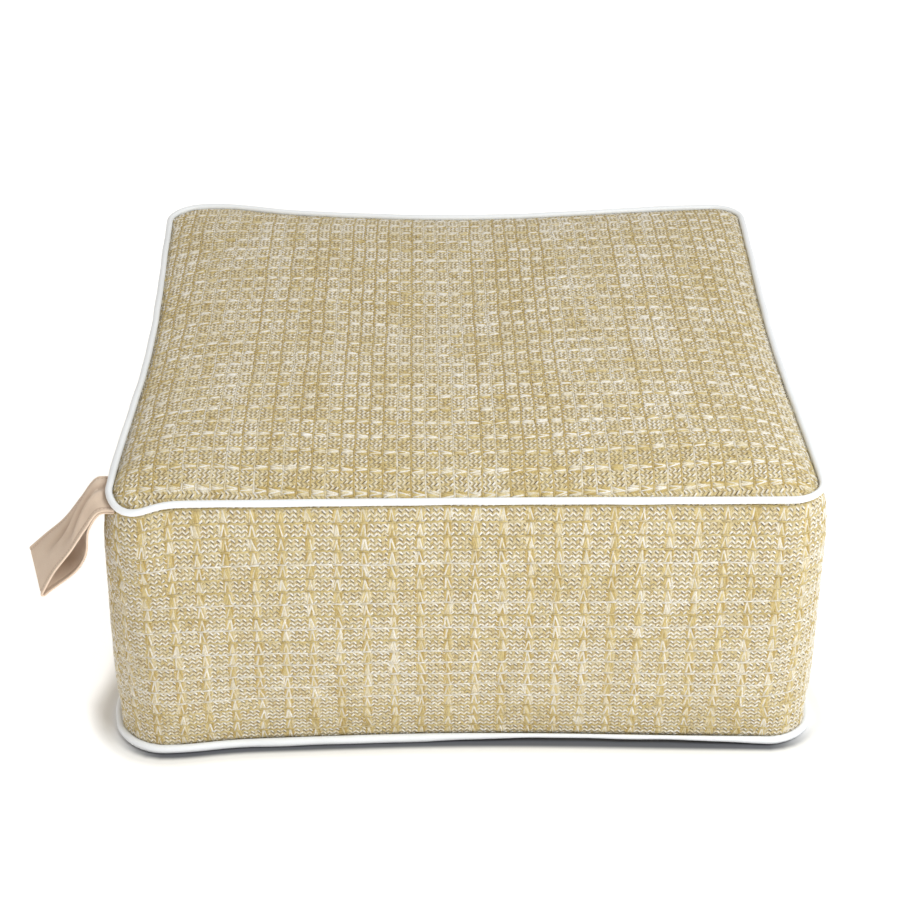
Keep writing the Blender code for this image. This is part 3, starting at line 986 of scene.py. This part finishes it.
def averaged(values, rounds, closed):
    """Values of a grid, each averaged with its neighbours again and again."""
    for _ in range(rounds):
        for mode in ("wrap" if closed else "edge", "edge"):
            around = np.pad(values, ((1, 1), (0, 0)), mode=mode)
            values = ((around[:-2] + 2 * values + around[2:]) / 4).T
    return values


def resampled(values, rows, columns):
    """Values of a grid at other places of its rows and columns."""
    for places in (columns, rows):
        values = np.array([np.interp(places, np.arange(len(line)), line) for line in values]).T
    return values


def settled_folds():
    """How far the top's and the band's cloth rises in folds, at the points of their final grids. A
    coarse cover settles for it under pressure, held at its seams, lips and base."""
    cells, levels = CLOTH_CELLS, BAND_LEVELS
    top, band, base = cover_grids(cells, levels)
    count = 4 * cells * (levels + 1)
    band_numbers = np.arange(count).reshape(4 * cells, levels + 1)
    around = np.concatenate([band_numbers, band_numbers[:1]])
    points = [band[:-1].reshape(-1, 3)]
    faces = [around.ravel()[grid_faces(*around.shape)]]
    panels = []
    for panel, seam_row, order in ((top, levels, 1), (base, 0, -1)):
        numbers = np.zeros((cells + 1, cells + 1), dtype=int)
        inner = numbers[1:-1, 1:-1]
        inner[:] = count + np.arange(inner.size).reshape(inner.shape)
        numbers.flat[ring_of(np.arange(numbers.size).reshape(numbers.shape))] = band_numbers[:, seam_row]
        count += inner.size
        points.append(panel[1:-1, 1:-1].reshape(-1, 3))
        faces.append(numbers.ravel()[grid_faces(*numbers.shape)][:, ::order])
        panels.append(numbers)
    points = np.concatenate(points)
    held = np.concatenate([band_numbers[:, [0, 1, levels - 1, levels]].ravel(), panels[1].ravel()])
    shift = settle(points, np.concatenate(faces), held) - points
    folds = []
    for grid, numbers, closed in ((top, panels[0], False), (band, band_numbers, True)):
        rise = np.sum(shift[numbers] * grid_normals(grid, closed)[: len(numbers)], axis=2)
        rise = averaged(rise, FOLD_ROUNDS, closed) - averaged(rise, FORM_ROUNDS, closed)
        folds.append(FOLD_LIMIT * np.tanh(rise / FOLD_LIMIT))
    fine = np.arange(2 * cells + 1) / 2
    columns = np.arange(2 * levels - 1) * (levels - 2) / (2 * levels - 2) + 1
    columns = np.concatenate([[0], columns, [levels]])
    band_folds = np.concatenate([folds[1], folds[1][:1]])
    return resampled(folds[0], fine, fine), resampled(band_folds, np.arange(8 * cells + 1) / 2, columns)


def settle(points, faces, held):
    """Points of a closed cloth after a short simulation under pressure, some of them held."""
    ob = mesh_object("settling", points, faces)
    ob.vertex_groups.new(name="held").add(held.tolist(), 1.0, "REPLACE")
    cloth = ob.modifiers.new("cloth", "CLOTH")
    for setting, value in CLOTH_SETTINGS.items():
        setattr(cloth.settings, setting, value)
    cloth.settings.effector_weights.gravity = 0.0
    cloth.collision_settings.use_collision = False
    cloth.point_cache.frame_end = SETTLE_FRAMES
    for step in range(1, SETTLE_FRAMES + 1):
        bpy.context.scene.frame_set(step)
    settled = np.empty(points.size, dtype=np.float32)
    ob.evaluated_get(bpy.context.evaluated_depsgraph_get()).data.vertices.foreach_get("co", settled)
    bpy.context.scene.frame_set(1)
    bpy.data.objects.remove(ob)
    return settled.reshape(-1, 3)


def make_cover():
    """The three panels of the cover and the raised yarns of the two that show."""
    top, band, base = cover_grids(2 * CLOTH_CELLS, 2 * BAND_LEVELS)
    top_folds, band_folds = settled_folds()
    top += grid_normals(top) * np.expand_dims(top_folds - GROUND_DEPTH, -1)
    band += grid_normals(band, closed=True) * np.expand_dims(band_folds - GROUND_DEPTH, -1)
    laid_band = lay_band(band)
    band_pitch = (laid_band.u_table[-1] - laid_band.u_table[0]) / BAND_BUNDLES
    band_cloth = ground_cloth("woven_cloth_band", band_pitch, BAND_LINE_PITCH, TAUPE)
    top_cloth = ground_cloth("woven_cloth_top", TOP_BUNDLE_PITCH, TOP_LINE_PITCH, UMBER)
    band_map = cloth_map(*np.meshgrid(laid_band.u_table, laid_band.v_table, indexing="ij"))
    side_band = cloth_solid("side_band", band, band_map, band_cloth, closed=True)
    top_panel = cloth_solid("top_panel", top, np.zeros(top.shape[:2] + (2,)), top_cloth)
    laid_top = lay_top(top_panel)
    bpy.data.objects.remove(top_panel)
    spots = np.linspace(-SIDE / 2, SIDE / 2, len(laid_top.u_table))
    top_map = cloth_map(np.interp(-top[:, :, 1], spots, laid_top.u_table), top[:, :, 0] - TOP_LINE_X)
    top_panel = cloth_solid("top_panel", top, top_map, top_cloth)
    under = base[::2, ::2].transpose(1, 0, 2)
    base_panel = cloth_solid("base_panel", under, under[:, :, :2], top_cloth)
    for piece in (top_panel, side_band, base_panel):
        dress(piece, "cushion")
    yarn = yarn_material()
    corners = cells_of(laid_band, band_pitch, BAND_LINE_PITCH)
    bundle = np.round((corners[:, 0] - corners[0, 0]) / band_pitch).astype(int)
    for number, side in enumerate(("front", "right", "back", "left")):
        chosen = corners[bundle * 4 // BAND_BUNDLES == number]
        make_yarns("band_yarns_" + side, laid_band, chosen, band_pitch, BAND_LINE_PITCH, 0.0, yarn)
    corners = cells_of(laid_top, TOP_BUNDLE_PITCH, TOP_LINE_PITCH)
    is_front = corners[:, 0] > np.median(corners[:, 0])
    for name, chosen in (("top_yarns_back", ~is_front), ("top_yarns_front", is_front)):
        make_yarns(name, laid_top, corners[chosen], TOP_BUNDLE_PITCH, TOP_LINE_PITCH, TOP_GILT, yarn)


def make_piping(name, seam, node, radius, material):
    """Piping along a seam: a little uneven in thickness and line, and creased at the corners."""
    cells = 2 * CLOTH_CELLS
    around = np.arange(PIPING_SIDES)[:, None] * 2 * pi / PIPING_SIDES
    rings = []
    for step, (side, part) in enumerate(outline_places(cells)):
        point, normal = part_point(seam, side, part)
        turn = 2 * pi * (side + (1 + part) / 2) / 4
        waves_there = ((9, radius * PIPING_PHASE), (23, 0.0), (38, 1.0))
        uneven = sum(sin(number * turn + phase) for number, phase in waves_there)
        from_corner = min(step % cells, cells - step % cells)
        crease = sin(pi * from_corner / 2) ** 2 if from_corner < CREASED_CELLS else 0.0
        thinned = 0.0
        if seam is BASE_SEAM and side == FRONT:
            thinned = radius * THIN_SHARE * exp(-(((point.x - THIN_MIDDLE) / THIN_REACH) ** 4))
        point.z += thinned
        thickness = radius * (1 + UNEVEN_RADIUS * uneven - CREASE_DEPTH * crease) - thinned
        spokes = np.cos(around) * normal + np.sin(around) * (0, 0, 1)
        rings.append(np.array(point + normal * UNEVEN_LINE * uneven) + thickness * spokes)
    faces = belt_faces(len(rings), PIPING_SIDES, closed=True)
    dress(mesh_object(name, np.concatenate(rings), faces, material), node)


def floor_material():
    """A white floor that glows, with a painted shadow close by the pouf's front. The map's x is the
    distance from the pouf's outline, and its y how much that faces the front."""
    shader = Shader("floor", Roughness=0.9, Emission_Color=(1.0, 1.0, 1.0, 1.0))
    _, out, facing = shader.map_axes("floor")
    # a shadow painted on the floor, just off the pouf's front
    near = shader.math("MULTIPLY", shader.between(out, *PAINTED_SHADOW_REACH, 1.0, 0.0), facing)
    shader.paint(shader.mix(near, FLOOR_WHITE, FLOOR_PAINTED_SHADOW))
    glow = shader.between(out, *FLOOR_SHADE, 0.0, FLOOR_GLOW)
    shader.feed(shader.surface.inputs["Emission Strength"], glow)
    return shader.material


def make_floor():
    """The floor, in rings round the pouf's outline."""
    points, spots = [], []
    for distance in FLOOR_RINGS:
        for side, part in outline_places(FLOOR_CELLS):
            point, normal = part_point(BASE_SEAM, side, part)
            point += normal * (PIPING_RADIUS + distance)
            points.append((point.x, point.y, 0.0))
            spots.append((distance, max(0.0, -normal.y) ** 2))
    size = 4 * FLOOR_CELLS
    faces = [range(size), *belt_faces(len(FLOOR_RINGS), size)]
    floor = mesh_object("floor", points, faces, floor_material(), floor=spots)


def make_studio():
    """The floor, the white surroundings, the key light and the view of the photograph."""
    make_floor()
    scene = bpy.context.scene
    scene.view_settings.view_transform = "Standard"
    scene.world = bpy.data.worlds.new("studio")
    scene.world.use_nodes = True
    background = scene.world.node_tree.nodes["Background"].inputs
    background["Color"].default_value = SKY_COLOUR
    background["Strength"].default_value = SKY
    light = bpy.data.lights.new("key", "AREA")
    light.shape = "SQUARE"
    light.size, light.energy, light.color = KEY_SIZE, KEY_POWER, KEY_COLOUR
    key = bpy.data.objects.new("key", light)
    key.location = KEY_PLACE
    key.rotation_euler = (KEY_TARGET - KEY_PLACE).to_track_quat("-Z", "Y").to_euler()
    camera = bpy.data.objects.new("camera", bpy.data.cameras.new("camera"))
    camera.data.sensor_width = 36.0
    camera.data.lens = CAMERA_LENS
    camera.location = CAMERA_PLACE
    camera.rotation_euler = (pi / 2 - CAMERA_DOWN, 0.0, -CAMERA_RIGHT)
    for ob in (key, camera):
        scene.collection.objects.link(ob)
    scene.camera = camera


make_studio()
make_cover()
white = piping_material()
make_piping("piping_top_cord", TOP_SEAM, "piping_top", TOP_PIPING_RADIUS, white)
make_piping("piping_base_cord", BASE_SEAM, "piping_base", BASE_PIPING_RADIUS, white)
tape, laid_tape = make_tape(tape_material())
dress(tape, "handle_strap")
make_stitches(laid_tape, Shader("blush_thread", Base_Color=BLUSH_THREAD, Roughness=0.7).material)
